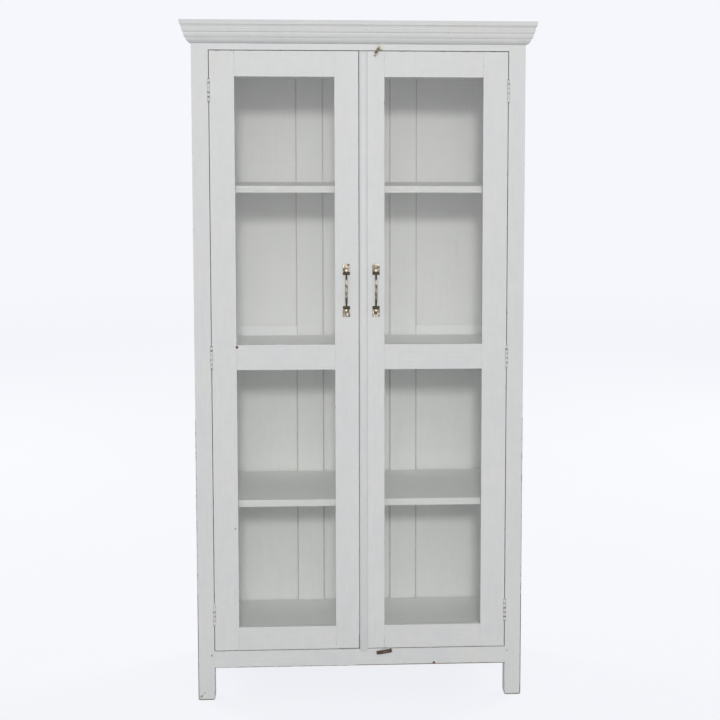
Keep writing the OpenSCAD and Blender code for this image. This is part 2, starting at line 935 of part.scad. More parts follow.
turn_button();
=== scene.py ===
import math
import random

import bmesh
import bpy
from mathutils import Matrix, Vector, noise


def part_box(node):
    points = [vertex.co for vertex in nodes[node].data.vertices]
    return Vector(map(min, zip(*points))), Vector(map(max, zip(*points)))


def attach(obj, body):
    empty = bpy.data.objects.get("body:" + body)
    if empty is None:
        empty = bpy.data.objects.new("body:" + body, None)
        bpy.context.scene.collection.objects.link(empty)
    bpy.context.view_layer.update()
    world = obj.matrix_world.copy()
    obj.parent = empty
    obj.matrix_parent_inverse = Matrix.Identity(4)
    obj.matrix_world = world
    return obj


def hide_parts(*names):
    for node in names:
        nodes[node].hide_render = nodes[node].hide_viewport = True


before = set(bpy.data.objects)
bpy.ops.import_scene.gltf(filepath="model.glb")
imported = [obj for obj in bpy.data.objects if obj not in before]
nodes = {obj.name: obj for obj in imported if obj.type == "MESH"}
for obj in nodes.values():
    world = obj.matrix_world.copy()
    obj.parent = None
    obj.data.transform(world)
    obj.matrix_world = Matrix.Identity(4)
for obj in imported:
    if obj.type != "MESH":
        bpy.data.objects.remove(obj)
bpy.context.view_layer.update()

MERGE = 1e-6

# ------------------------------------------------------------------ places

front_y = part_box("front_left_post")[0].y
half_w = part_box("front_right_post")[1].x
rail_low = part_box("front_bottom_rail")[0]


def centre(node):
    """The middle of a CAD node's box."""
    low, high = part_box(node)
    return (low + high) / 2


def on_front(x, z):
    """A point on the front face."""
    return Vector((x, front_y, z))


# ------------------------------------------------------------------ materials


class Graph:
    """A material's node tree, with short calls for the nodes that are used here."""

    def __init__(self, name):
        self.material = bpy.data.materials.new(name)
        self.material.use_nodes = True
        self.tree = self.material.node_tree
        self.tree.nodes.clear()
        self.out = self.tree.nodes.new("ShaderNodeOutputMaterial")
        coordinates = self.tree.nodes.new("ShaderNodeTexCoord")
        self.place = coordinates.outputs["Object"]

    def put(self, value, socket):
        """Link a socket, or set a plain value."""
        if isinstance(value, bpy.types.NodeSocket):
            self.tree.links.new(value, socket)
        else:
            socket.default_value = value

    def math(self, operation, a, b=0.5, clamp=False):
        """Arithmetic on numbers or sockets."""
        made = self.tree.nodes.new("ShaderNodeMath")
        made.operation = operation
        made.use_clamp = clamp
        self.put(a, made.inputs[0])
        self.put(b, made.inputs[1])
        return made.outputs[0]

    def vector(self, operation, a, b, out=0):
        """Vector arithmetic. Output 1 is the number of a length or a dot product."""
        made = self.tree.nodes.new("ShaderNodeVectorMath")
        made.operation = operation
        self.put(a, made.inputs[0])
        self.put(b, made.inputs[1])
        return made.outputs[out]

    def stretch(self, scale):
        """The object's own coordinates, scaled along each axis."""
        return self.vector("MULTIPLY", self.place, scale)

    def noise(self, scale, detail=3.0, rough=0.5, seed=(0, 0, 0)):
        """Noise with so many features to the metre along each axis, from 0 to 1."""
        moved = self.vector("ADD", self.stretch(scale), seed)
        made = self.tree.nodes.new("ShaderNodeTexNoise")
        self.put(moved, made.inputs["Vector"])
        made.inputs["Scale"].default_value = 1.0
        made.inputs["Detail"].default_value = detail
        made.inputs["Roughness"].default_value = rough
        return made.outputs[0]

    def ramp(self, value, low, high, to_low=0.0, to_high=1.0):
        """A value mapped from one range to another, smoothly, and held at its ends."""
        made = self.tree.nodes.new("ShaderNodeMapRange")
        made.interpolation_type = "SMOOTHSTEP"
        ends = {"From Min": low, "From Max": high, "To Min": to_low, "To Max": to_high}
        for name, number in ends.items():
            made.inputs[name].default_value = number
        self.put(value, made.inputs["Value"])
        return made.outputs["Result"]

    def blend(self, factor, a, b):
        """One colour turning into another."""
        made = self.tree.nodes.new("ShaderNodeMix")
        made.data_type = "RGBA"
        self.put(factor, made.inputs[0])
        for value, socket in ((a, made.inputs[6]), (b, made.inputs[7])):
            self.put(value if isinstance(value, bpy.types.NodeSocket) else (*value, 1.0), socket)
        return made.outputs[2]

    def shade(self, colour, factor):
        """A colour made lighter or darker."""
        made = self.tree.nodes.new("ShaderNodeVectorMath")
        made.operation = "SCALE"
        self.put(colour, made.inputs[0])
        self.put(factor, made.inputs["Scale"])
        return made.outputs[0]

    def bump(self, height, depth, before=None):
        """A normal from a height between 0 and 1, that many metres deep."""
        made = self.tree.nodes.new("ShaderNodeBump")
        made.inputs["Strength"].default_value = 1.0
        made.inputs["Distance"].default_value = depth
        self.put(height, made.inputs["Height"])
        if before:
            self.put(before, made.inputs["Normal"])
        return made.outputs[0]

    def edges(self, radius, samples=6):
        """1 on an edge and 0 on a flat face."""
        soft = self.tree.nodes.new("ShaderNodeBevel")
        soft.samples = samples
        soft.inputs["Radius"].default_value = radius
        plain = self.tree.nodes.new("ShaderNodeNewGeometry")
        along = self.vector("DOT_PRODUCT", soft.outputs[0], plain.outputs["True Normal"], out=1)
        return self.ramp(along, 0.992, 0.93)

    def corners(self, distance, samples=6):
        """1 in a corner or a narrow gap and 0 in the open."""
        made = self.tree.nodes.new("ShaderNodeAmbientOcclusion")
        made.samples = samples
        made.inputs["Distance"].default_value = distance
        return self.math("SUBTRACT", 1.0, made.outputs["AO"])

    def spot(self, at, radius):
        """1 at a point, falling to 0 at the radius."""
        made = self.tree.nodes.new("ShaderNodeVectorMath")
        made.operation = "DISTANCE"
        self.put(self.place, made.inputs[0])
        made.inputs[1].default_value = at
        return self.ramp(made.outputs["Value"], radius, radius * 0.35)

    def within(self, low, high, soft):
        """1 inside a box, falling to 0 a short way outside it."""
        away = self.vector("ABSOLUTE", self.vector("SUBTRACT", self.place, (low + high) / 2), (0, 0, 0))
        past = self.tree.nodes.new("ShaderNodeSeparateXYZ")
        self.put(self.vector("SUBTRACT", away, (high - low) / 2), past.inputs[0])
        farthest = self.math("MAXIMUM", past.outputs[0], past.outputs[1])
        farthest = self.math("MAXIMUM", farthest, past.outputs[2])
        return self.ramp(farthest, soft, 0.0)

    def upward(self):
        """The height above the floor."""
        split = self.tree.nodes.new("ShaderNodeSeparateXYZ")
        self.put(self.place, split.inputs[0])
        return split.outputs[2]

    def by_ray(self, shader, other, *kinds):
        """One shader, with another in its place for two kinds of ray."""
        path = self.tree.nodes.new("ShaderNodeLightPath")
        mix = self.tree.nodes.new("ShaderNodeMixShader")
        first, second = (path.outputs[kind] for kind in kinds)
        self.put(self.math("MAXIMUM", first, second), mix.inputs[0])
        self.put(shader.outputs[0], mix.inputs[1])
        self.put(other.outputs[0], mix.inputs[2])
        return mix

    def principled(self, **inputs):
        """The main shader, with its sockets named with _ for a space."""
        shader = self.tree.nodes.new("ShaderNodeBsdfPrincipled")
        for name, value in inputs.items():
            socket = shader.inputs[name.replace("_", " ")]
            if isinstance(value, tuple) and len(value) == 3 and socket.type == "RGBA":
                value = (*value, 1.0)
            self.put(value, socket)
        return shader

    def finish(self, shader):
        """The material, with its surface from this shader."""
        self.tree.links.new(shader.outputs[0], self.out.inputs[0])
        return self.material


# Base colours, as plain red, green and blue.
PAINT = (0.852, 0.866, 0.866)
YELLOWED = (0.850, 0.854, 0.832)
# Darkens the paint for painted shade in the corners and for dirty, painted shadow lines along seams.
SHADE_AND_DIRT = (0.30, 0.285, 0.24)
THIN_PAINT = (0.52, 0.50, 0.44)
BARE_WOOD = (0.20, 0.125, 0.075)
BACKDROP = (0.913, 0.930, 0.973)
ALONG = {"x": 0, "y": 1, "z": 2}


def along_grain(grain, across, along):
    """Noise scales for a pattern drawn out along one axis."""
    return tuple(along if axis == ALONG[grain] else across for axis in range(3))


def paint_colour(g, patches, brush, mottle, tint, yellowed, height_shade):
    """White paint with brush lines and dull patches, yellowed in places, and with painted shade that darkens
    it with height.
    """
    tone = g.math("ADD", g.ramp(patches, 0.3, 0.7, -0.016, 0.016), g.ramp(brush, 0.25, 0.75, -0.024, 0.020))
    tone = g.math("ADD", tone, g.ramp(mottle, 0.3, 0.7, -0.014, 0.014))
    tone = g.math("ADD", tone, tint)
    # Painted shade: darker towards the top and lighter towards the bottom, for how the light falls inside the
    # cabinet.
    if height_shade:
        tone = g.math("ADD", tone, g.ramp(g.upward(), 0.35, 1.5, height_shade / 2, -height_shade / 2))
    return g.shade(g.blend(g.ramp(patches, 0.45, 0.75, yellowed, 1.0), PAINT, YELLOWED), tone)


def shade_and_dirt_on(g, mottle, corner_shade, seams):
    """How dark the paint is made: painted shade in shut-in corners, and dirty, painted shadow lines along the
    seams.
    """
    # Painted shade: the paint is darker the more shut in a place is.
    corner = g.corners(0.016)
    shade_and_dirt = g.math("MULTIPLY", g.ramp(corner, 0.30, 0.95), g.ramp(mottle, 0.3, 0.62, 0.35, 1.0))
    shade_and_dirt = g.math("MULTIPLY", shade_and_dirt, 0.42 * corner_shade, clamp=True)
    for low, high, amount in seams:
        seam_darkness = g.ramp(mottle, 0.25, 0.6, 0.2 * amount, 0.6 * amount)
        shade_and_dirt = g.math("MAXIMUM", shade_and_dirt, g.math("MULTIPLY", g.within(low, high, 0.0015), seam_darkness))
    return shade_and_dirt


def rubbing_on(g, move, wear, worn, rubbed):
    """How hard each place has been rubbed, a little more near the floor."""
    rub = g.math("ADD", g.noise((70.0, 70.0, 52.0), 5.0, 0.7, move), wear)
    for at, radius, amount in worn:
        rub = g.math("ADD", rub, g.math("MULTIPLY", g.spot(at, radius), amount))
    for low, high, amount in rubbed:
        rub = g.math("ADD", rub, g.math("MULTIPLY", g.within(low, high, 0.0012), amount))
    return g.math("ADD", rub, g.ramp(g.upward(), 0.28, 0.0, 0.0, 0.08))


def painted_wood(
    name, grain, tint=1.0, seed=0, wear=0.0, worn=(), rubbed=(), corner_shade=1.0, yellowed=0.0, height_shade=0.0, seams=()
):
    """Brushed white paint over wood: brush lines, grain under the paint, dull patches,
    painted shade in the corners, and bare wood where the paint has gone from the edges.
    Worn places are (point, radius, amount), and rubbed edges are (low corner, high corner, amount).
    Height shade makes the paint that much darker at the top than at the bottom, as painted shade for
    the light inside. Seams are boxes darkened by dirty, painted shadow lines, as (low corner, high corner,
    amount)."""
    g = Graph(name)
    move = (seed * 3.1, seed * 1.7, seed * 2.3)
    brush = g.noise(along_grain(grain, 310.0, 9.0), 4.0, 0.6, move)
    fibre = g.noise(along_grain(grain, 900.0, 22.0), 2.0, 0.5, move)
    ripple = g.noise(along_grain(grain, 60.0, 5.0), 2.0, 0.5, move)
    patches = g.noise((7.0, 7.0, 5.0), 3.0, 0.55, move)
    mottle = g.noise((46.0, 46.0, 30.0), 4.0, 0.65, move)

    colour = paint_colour(g, patches, brush, mottle, tint, yellowed, height_shade)
    # Painted shade in the corners and dirty, shaded seams, blended into the paint.
    colour = g.blend(shade_and_dirt_on(g, mottle, corner_shade, seams), colour, SHADE_AND_DIRT)
    edge = g.edges(0.0030)
    rub = rubbing_on(g, move, wear, worn, rubbed)
    thin = g.math("MULTIPLY", edge, g.ramp(rub, 0.50, 0.66))
    colour = g.blend(g.math("MULTIPLY", thin, 0.42), colour, THIN_PAINT)
    chip = g.math("MULTIPLY", edge, g.ramp(rub, 0.645, 0.67))
    chip = g.math("MAXIMUM", chip, g.ramp(rub, 1.0, 1.02))
    wood = g.shade(BARE_WOOD, g.ramp(fibre, 0.3, 0.7, 0.65, 1.35))
    colour = g.blend(chip, colour, wood)

    roughness = g.math("ADD", g.ramp(brush, 0.3, 0.7, 0.44, 0.53), g.ramp(patches, 0.3, 0.7, -0.04, 0.05))
    roughness = g.math("ADD", roughness, g.math("MULTIPLY", chip, 0.3))
    bump = g.bump(ripple, 0.0005)
    bump = g.bump(brush, 0.00032, bump)
    bump = g.bump(fibre, 0.00005, bump)
    bump = g.bump(g.math("SUBTRACT", 1.0, chip), 0.00035, bump)
    shader = g.principled(Base_Color=colour, Roughness=roughness, Normal=bump)
    shader.inputs["Specular IOR Level"].default_value = 0.4
    return g.finish(shader)


def window_glass(name, seed=0):
    """Clear old glass: a faint green body, a light haze and smears on the surface."""
    g = Graph(name)
    move = (seed * 2.7, seed * 1.3, seed * 3.9)
    smear = g.noise((9.0, 9.0, 14.0), 4.0, 0.6, move)
    streak = g.noise((60.0, 60.0, 11.0), 3.0, 0.55, move)
    rough = g.math("ADD", g.ramp(smear, 0.52, 0.75, 0.0, 0.05), g.ramp(streak, 0.55, 0.8, 0.0, 0.03))
    wave = g.noise((5.0, 5.0, 3.0), 1.0, 0.4, move)
    shader = g.principled(Base_Color=(0.985, 0.992, 0.986), Roughness=rough, Normal=g.bump(wave, 0.0006))
    shader.inputs["Transmission Weight"].default_value = 1.0
    shader.inputs["IOR"].default_value = 1.48
    clear = g.tree.nodes.new("ShaderNodeBsdfTransparent")
    clear.inputs[0].default_value = (0.98, 0.983, 0.98, 1.0)
    return g.finish(g.by_ray(shader, clear, "Is Shadow Ray", "Is Diffuse Ray"))


def aged_brass(name, dark, bright, tarnish=0.0, seed=0, bands=(), spots=()):
    """Old brass: rubbed bright on the high spots, brown and green-black in the hollows.
    Bands (height, half width, amount) and spots (point, radius, amount) are darker, or brighter
    where the amount is below 0; on the handles these carry painted highlights and painted shade."""
    g = Graph(name)
    move = (seed * 4.1, seed * 2.9, seed * 1.9)
    cloud = g.noise((190.0, 190.0, 105.0), 4.0, 0.62, move)
    speck = g.noise((900.0, 900.0, 900.0), 2.0, 0.6, move)
    hollow = g.corners(0.004)
    edge = g.edges(0.0009)
    tarnish_and_shading = g.math("ADD", g.ramp(cloud, 0.36, 0.66, 0.1, 0.8), g.math("MULTIPLY", hollow, 0.9))
    tarnish_and_shading = g.math("SUBTRACT", tarnish_and_shading, g.math("MULTIPLY", edge, 0.35))
    tarnish_and_shading = g.math("ADD", tarnish_and_shading, g.ramp(speck, 0.3, 0.7, -0.15, 0.15))
    tarnish_and_shading = g.math("ADD", tarnish_and_shading, tarnish)
    up = g.upward()
    for height, half_width, amount in bands:
        away = g.math("ABSOLUTE", g.math("SUBTRACT", up, height))
        near = g.ramp(away, half_width, half_width * 0.7)
        tarnish_and_shading = g.math("ADD", tarnish_and_shading, g.math("MULTIPLY", near, amount))
    for at, radius, amount in spots:
        tarnish_and_shading = g.math("ADD", tarnish_and_shading, g.math("MULTIPLY", g.spot(at, radius), amount))
    tarnish_and_shading = g.ramp(tarnish_and_shading, 0.1, 1.0)
    brown = g.blend(g.ramp(speck, 0.35, 0.65), dark, (dark[0] * 1.5, dark[1] * 1.35, dark[2] * 1.1))
    middle = tuple(0.40 * d + 0.36 * b for d, b in zip(dark, bright))
    colour = g.blend(g.ramp(tarnish_and_shading, 0.0, 0.5), bright, middle)
    colour = g.blend(g.ramp(tarnish_and_shading, 0.5, 1.0), colour, brown)
    shader = g.principled(
        Base_Color=colour,
        Roughness=g.ramp(tarnish_and_shading, 0.0, 1.0, 0.34, 0.62),
        Normal=g.bump(speck, 0.00006, g.bump(cloud, 0.0002)),
    )
    shader.inputs["Metallic"].default_value = 0.9
    return g.finish(shader)


def old_steel(name, clean, shine):
    """A steel screw with brown spots."""
    g = Graph(name)
    spots = g.noise((420.0, 420.0, 420.0), 4.0, 0.6)
    fine = g.noise((1500.0, 1500.0, 1500.0), 2.0, 0.5)
    colour = g.blend(g.ramp(spots, 0.42, 0.62), clean, (0.16, 0.105, 0.07))
    shader = g.principled(
        Base_Color=colour,
        Roughness=g.ramp(spots, 0.35, 0.65, 0.32, 0.62),
        Normal=g.bump(fine, 0.00004),
    )
    shader.inputs["Metallic"].default_value = shine
    return g.finish(shader)


def dark_wood(name):
    """Dark stained wood, rubbed pale brown in places and along its edges."""
    g = Graph(name)
    grain = g.noise((60.0, 900.0, 900.0), 4.0, 0.6)
    rubbed = g.noise((95.0, 160.0, 160.0), 3.0, 0.6, (4.0, 1.0, 2.0))
    edge = g.edges(0.0012)
    colour = g.blend(g.ramp(grain, 0.3, 0.7), (0.035, 0.017, 0.012), (0.085, 0.043, 0.028))
    bare = g.math("MAXIMUM", g.ramp(rubbed, 0.56, 0.72), g.math("MULTIPLY", edge, g.ramp(rubbed, 0.4, 0.6)))
    colour = g.blend(g.math("MULTIPLY", bare, 0.75), colour, (0.27, 0.17, 0.10))
    shader = g.principled(
        Base_Color=colour,
        Roughness=g.ramp(grain, 0.3, 0.7, 0.38, 0.6),
        Normal=g.bump(grain, 0.0002),
    )
    return g.finish(shader)


def pale_floor(name, near_glow, far_glow):
    """A smooth studio floor, lit as evenly as the backdrop, that takes only a faint shadow."""
    g = Graph(name)
    cloud = g.noise((1.3, 1.3, 1.3), 2.0, 0.5)
    fine = g.noise((240.0, 240.0, 240.0), 2.0, 0.5)
    even = g.principled(
        Base_Color=g.shade((0.10, 0.10, 0.10), g.ramp(cloud, 0.3, 0.7, 0.97, 1.0)),
        Roughness=g.ramp(fine, 0.3, 0.7, 0.9, 1.0),
    )
    even.inputs["Specular IOR Level"].default_value = 0.0
    even.inputs["Emission Color"].default_value = (*BACKDROP, 1.0)
    far = g.vector("LENGTH", g.place, (0.0, 0.0, 0.0), out=1)
    g.put(g.ramp(far, 1.0, 14.0, near_glow, far_glow), even.inputs["Emission Strength"])
    bounce = g.principled(Roughness=g.ramp(fine, 0.3, 0.7, 0.9, 1.0))
    bounce.inputs["Base Color"].default_value = (0.22, 0.224, 0.23, 1.0)
    return g.finish(g.by_ray(bounce, even, "Is Camera Ray", "Is Glossy Ray"))


# ------------------------------------------------------------------ worn and dirty places, and painted shade


def front_strip(x0, x1, z0, z1):
    """The corners of a thin box on the front face, from a little before it to a little behind."""
    return on_front(x0, z0) - Vector((0, 0.002, 0)), on_front(x1, z1) + Vector((0, 0.003, 0))


def worn_leg_edges():
    """The outer edges of the front legs and the edges of their feet."""
    edges = []
    for side in (-1, 1):
        outer = sorted((side * (half_w + 0.001), side * (half_w - 0.0014)))
        foot = sorted((side * half_w, side * (half_w - 0.045)))
        edges.append((*front_strip(*outer, 0.0, 0.80), 0.47))
        edges.append((*front_strip(*foot, -0.001, 0.0016), 0.50))
    return edges


def dirty_shaded_muntin_seams():
    """The joints between the back muntins and the panels: dirty lines, and painted shadow lines where the
    muntins stand proud.
    """
    seams = []
    for muntin in ("back_left_muntin", "back_right_muntin"):
        low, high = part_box(muntin)
        for x in (low.x, high.x):
            seam_low = Vector((x - 0.0012, low.y - 0.01, low.z))
            seam_high = Vector((x + 0.0012, high.y + 0.01, high.z))
            seams.append((seam_low, seam_high, 1.0))
    return seams


def shaded_shelf_fronts():
    """The front edges of the shelves, darkened as painted shade, most on the upper shelf."""
    fronts = []
    for shelf, amount in (("shelf_lower", 0.28), ("shelf_middle", 0.28), ("shelf_upper", 0.42)):
        low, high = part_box(shelf)
        front = low - Vector((0, 0.002, 0)), Vector((high.x, low.y + 0.002, high.z))
        fronts.append((*front, amount))
    return fronts


def worn_leg_spots():
    """Worn patches up the corners of the front legs, and one under each foot."""
    spots = []
    for side in (-1, 1):
        for i in range(5):
            spots.append((Vector((side * half_w, front_y, 0.03 + 0.06 * i)), 0.040, 0.17))
    for side in (-1, 1):
        spots.append((Vector((side * (half_w - 0.023), front_y, 0.0)), 0.045, 0.20))
    return spots


low_rail_edges = [
    (*front_strip(-half_w, half_w, rail_low.z - 0.001, rail_low.z + 0.0012), 0.44),
    (*front_strip(0.10, half_w, rail_low.z - 0.001, rail_low.z + 0.0020), 0.13),
]
low_rail_spots = [(on_front(0.02 + 0.05 * i, rail_low.z), 0.040, 0.20) for i in range(8)]
low_rail_spots += [(on_front(0.209, rail_low.z + 0.004), 0.0055, 0.8)]
door_spots = [
    (on_front(-0.340, 1.006), 0.0060, 0.75),
    (on_front(-0.349, 0.494), 0.0030, 0.9),
    (on_front(0.0, 0.160), 0.030, 0.10),
    (on_front(0.064, 0.147), 0.030, 0.06),
    (on_front(-0.043, 0.143), 0.025, 0.12),
]
door_spots += [(on_front(x, 1.819), 0.075, 0.09) for x in (-0.33, -0.19, 0.12, 0.26, 0.38)]

# ------------------------------------------------------------------ finishes of the CAD pieces

# The inside paint gets painted shade that darkens it with height.
old_back = {"yellowed": 0.8, "height_shade": 0.13, "seams": dirty_shaded_muntin_seams()}
old_shelf = {"yellowed": 0.6, "height_shade": 0.12, "seams": shaded_shelf_fronts()}
paint = {
    "frame_z": painted_wood("frame_paint_upright", "z", 0.995, 1, 0.0, worn_leg_spots(), worn_leg_edges()),
    "frame_x": painted_wood("frame_paint_across", "x", 1.0, 2, 0.0, low_rail_spots, low_rail_edges),
    "frame_y": painted_wood("frame_paint_deep", "y", 0.995, 3),
    "back_z": painted_wood("back_paint_upright", "z", 0.965, 4, -0.03, corner_shade=1.5, **old_back),
    "panel": painted_wood("panel_paint", "z", 0.97, 5, -0.04, corner_shade=1.6, **old_back),
    "shelf": painted_wood("shelf_paint", "x", 1.0, 6, -0.01, corner_shade=1.0, **old_shelf),
    "cornice_x": painted_wood("cornice_paint_front", "x", 1.0, 7, -0.01, corner_shade=0.15),
    "cornice_y": painted_wood("cornice_paint_side", "y", 1.0, 8, -0.01, corner_shade=0.15),
    "door_z": painted_wood("door_paint_upright", "z", 1.0, 9, 0.0, door_spots),
    "door_x": painted_wood("door_paint_across", "x", 0.99, 10, 0.0, door_spots),
    "hinge": painted_wood("hinge_paint", "z", 0.97, 11, 0.15),
    "peg": painted_wood("peg_paint", "y", 0.80, 12, 0.05),
}
glass = window_glass("old_glass", 1)

# The parts of a handle's end plates, in metres: the ridged collar's height, the whole plate's height,
# and the boss's middle above the collar.
COLLAR = 0.0065
PLATE = 0.030
BOSS_UP = 0.0055


def handle_places():
    """Where the handles are made darker, and where they get painted highlights and painted shade."""
    bands, spots = [], []
    for node in ("left_handle", "right_handle"):
        low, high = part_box(node)
        at = centre(node)
        at.y = low.y * 0.25 + high.y * 0.75
        collar = (high.z - low.z) / 2 - PLATE
        for end in (-1, 1):
            boss = Vector((at.x, high.y - 0.007, at.z + end * (collar + COLLAR + BOSS_UP)))
            # Painted highlight on each boss, brighter on the upper one.
            spots.append((boss, 0.0075, -0.75 if end > 0 else -0.25))
            # Darker where the bar meets the collars.
            neck = Vector((at.x, at.y, at.z + end * (collar - 0.006)))
            spots.append((neck, 0.019, 0.7))
            if node == "left_handle":
                # Darker ridged collars.
                bands.append((at.z + end * (collar + COLLAR / 2), 0.0046, 0.8))
        # Painted highlight on the upper part of the bar.
        spots.append((Vector((at.x, low.y, at.z + 0.028)), 0.014, -0.7))
        # Painted shade on the lower part of the bar.
        spots.append((Vector((at.x, low.y, at.z - 0.030)), 0.017, 0.35))
    return bands, spots


def hook_spots():
    """The hook is darker at its curl, its pin and its eye, and lighter on the ribs between them."""
    pin = centre("latch_pin")
    pivot = centre("hook_pivot")
    curl = pin + Vector((0.0085, 0, 0.004))
    rib = pivot + (pin - pivot) * 0.62
    return [(pin, 0.0060, 0.85), (curl, 0.014, 0.68), (pivot, 0.0070, 0.35), (rib, 0.0060, -0.35)]


handle_bands, handle_spots = handle_places()
brass = aged_brass(
    "handle_brass", (0.075, 0.064, 0.044), (0.62, 0.555, 0.45), 0.16, 1, handle_bands, handle_spots
)
hook_brass = aged_brass("hook_brass", (0.055, 0.040, 0.030), (0.84, 0.77, 0.58), -0.04, 2, spots=hook_spots())
steel = old_steel("old_steel", (0.42, 0.41, 0.39), 0.85)
dull_steel = old_steel("dull_steel", (0.13, 0.125, 0.11), 0.5)
button_wood = dark_wood("button_wood")


def dress(names, material, round_over=0.0, segments=2):
    """Give CAD nodes their material, and round their edges over by a width in metres."""
    for name in names:
        o = nodes[name]
        o.data.materials.clear()
        o.data.materials.append(material)
        if round_over:
            weld = o.modifiers.new("weld", "WELD")
            weld.merge_threshold = MERGE
            soft = o.modifiers.new("soft_edges", "BEVEL")
            soft.width = round_over
            soft.segments = segments
            soft.limit_method = "ANGLE"
            soft.angle_limit = math.radians(30)
            soft.harden_normals = True


def sided(*names):
    """The left and the right node of each name."""
    return [f"{side}_{name}" for name in names for side in ("left", "right")]


dress(["front_left_post", "front_right_post"], paint["frame_z"], 0.0012)
dress(["back_left_post", "back_right_post"], paint["frame_z"], 0.0012)
dress(["front_top_rail", "front_bottom_rail"], paint["frame_x"], 0.0008)
dress(["head_stop"], paint["frame_x"], 0.0008)
dress(sided("top_rail", "middle_rail", "bottom_rail"), paint["frame_y"], 0.0008)
dress(["back_top_rail", "back_bottom_rail", "back_middle_rails"], paint["frame_x"], 0.0008)
dress(["back_left_muntin", "back_right_muntin"], paint["back_z"], 0.0008)
dress(["side_panels", "back_panels"], paint["panel"])
dress(["top_board"], paint["frame_x"], 0.0015)
dress(["floor_board", "shelf_lower", "shelf_middle", "shelf_upper"], paint["shelf"], 0.0018, 3)
dress(["shelf_cleats"], paint["frame_y"], 0.001)
dress(["cornice_front"], paint["cornice_x"], 0.0006)
dress(["cornice_left", "cornice_right"], paint["cornice_y"], 0.0006)
dress(["joint_pegs"], paint["peg"])
dress(sided("hinge_stile", "meeting_stile"), paint["door_z"], 0.0006)
dress(["astragal"], paint["door_z"], 0.0012, 3)
dress(sided("door_top_rail", "door_middle_rail", "door_bottom_rail"), paint["door_x"], 0.0005)
dress(sided("glazing_beads"), paint["door_x"], 0.0008)
dress(sided("upper_glass", "lower_glass"), glass)
dress(["frame_hinge_leaves"] + sided("hinge_leaves"), paint["hinge"], 0.0003)

# ------------------------------------------------------------------ mesh tools


def new_piece(name, bm, material, body, slot, *replaced):
    """A finished mesh as an object that rides on its body and stands for CAD nodes."""
    bmesh.ops.recalc_face_normals(bm, faces=bm.faces)
    mesh = bpy.data.meshes.new(name)
    bm.to_mesh(mesh)
    bm.free()
    mesh.materials.append(material)
    mesh.polygons.foreach_set("use_smooth", [True] * len(mesh.polygons))
    o = bpy.data.objects.new(name, mesh)
    bpy.context.scene.collection.objects.link(o)
    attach(o, body)
    if replaced:
        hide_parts(*replaced)
    return o


def cast(o, voxel, smooth_rounds):
    """Fuse the overlapping forms of a mesh into one skin with softened corners."""
    fused = o.modifiers.new("fused", "REMESH")
    fused.mode = "VOXEL"
    fused.voxel_size = voxel
    fused.use_smooth_shade = True
    softer = o.modifiers.new("softer", "SMOOTH")
    softer.factor = 0.5
    softer.iterations = smooth_rounds
    return o


def lathe(bm, profile, at, rotation=Matrix.Identity(3), steps=40):
    """Turn a profile of (radius, height) about the local Z axis."""
    rings = []
    for radius, height in profile:
        if radius < 1e-7:
            rings.append([bm.verts.new(at + rotation @ Vector((0, 0, height)))])
            continue
        ring = []
        for i in range(steps):
            turn = 2 * math.pi * i / steps
            local = Vector((radius * math.cos(turn), radius * math.sin(turn), height))
            ring.append(bm.verts.new(at + rotation @ local))
        rings.append(ring)
    for a, b in zip(rings, rings[1:]):
        for i in range(steps):
            j = (i + 1) % steps
            corners = [a[i % len(a)], a[j % len(a)], b[j % len(b)], b[i % len(b)]]
            bm.faces.new(list(dict.fromkeys(corners)))


def sweep(bm, points, radii, steps=20):
    """A round bar along points, with a radius for each, closed by flat ends."""
    rings = []
    side = None
    for k, p in enumerate(points):
        ahead = points[min(k + 1, len(points) - 1)] - points[max(k - 1, 0)]
        ahead.normalize()
        if side is None:
            side = ahead.orthogonal().normalized()
        side = (side - ahead * side.dot(ahead)).normalized()
        up = ahead.cross(side)
        turns = [2 * math.pi * i / steps for i in range(steps)]
        rings.append([bm.verts.new(p + (side * math.cos(t) + up * math.sin(t)) * radii[k]) for t in turns])
    for a, b in zip(rings, rings[1:]):
        for i in range(steps):
            j = (i + 1) % steps
            bm.faces.new((a[i], a[j], b[j], b[i]))
    for ring in (rings[0], rings[-1]):
        bm.faces.new(ring)


def block(bm, low, high, radius, segments=3):
    """A box with its edges rounded over."""
    made = bmesh.ops.create_cube(bm, size=1.0)["verts"]
    bmesh.ops.scale(bm, vec=high - low, verts=made)
    bmesh.ops.translate(bm, vec=(low + high) / 2, verts=made)
    edges = {e for v in made for e in v.link_edges}
    bmesh.ops.bevel(bm, geom=list(edges), offset=radius, segments=segments, profile=0.5, affect="EDGES")


def dome(radius, height, steps=8):
    """The profile of a round head that stands on its rim at height 0."""
    quarter = math.pi / 2
    return [
        (radius * math.cos(quarter * i / steps), height * math.sin(quarter * i / steps))
        for i in range(steps)
    ] + [(0.0, height)]


def solids(node):
    """The vertices of each separate solid of a CAD node."""
    bm = bmesh.new()
    bm.from_mesh(nodes[node].data)
    bmesh.ops.remove_doubles(bm, verts=bm.verts, dist=MERGE)
    left = set(bm.verts)
    found = []
    for start in bm.verts:
        if start not in left:
            continue
        left.discard(start)
        group, front = [], [start]
        while front:
            v = front.pop()
            group.append(v.co.copy())
            for e in v.link_edges:
                w = e.other_vert(v)
                if w in left:
                    left.discard(w)
                    front.append(w)
        found.append(group)
    bm.free()
    return found


def facing(direction):
    """A turn that takes the local Z axis to a direction."""
    return Vector(direction).normalized().to_track_quat("Z", "Y").to_matrix()


# ------------------------------------------------------------------ screws

# The width of a screw's slot.
SCREW_SLOT = 0.0009


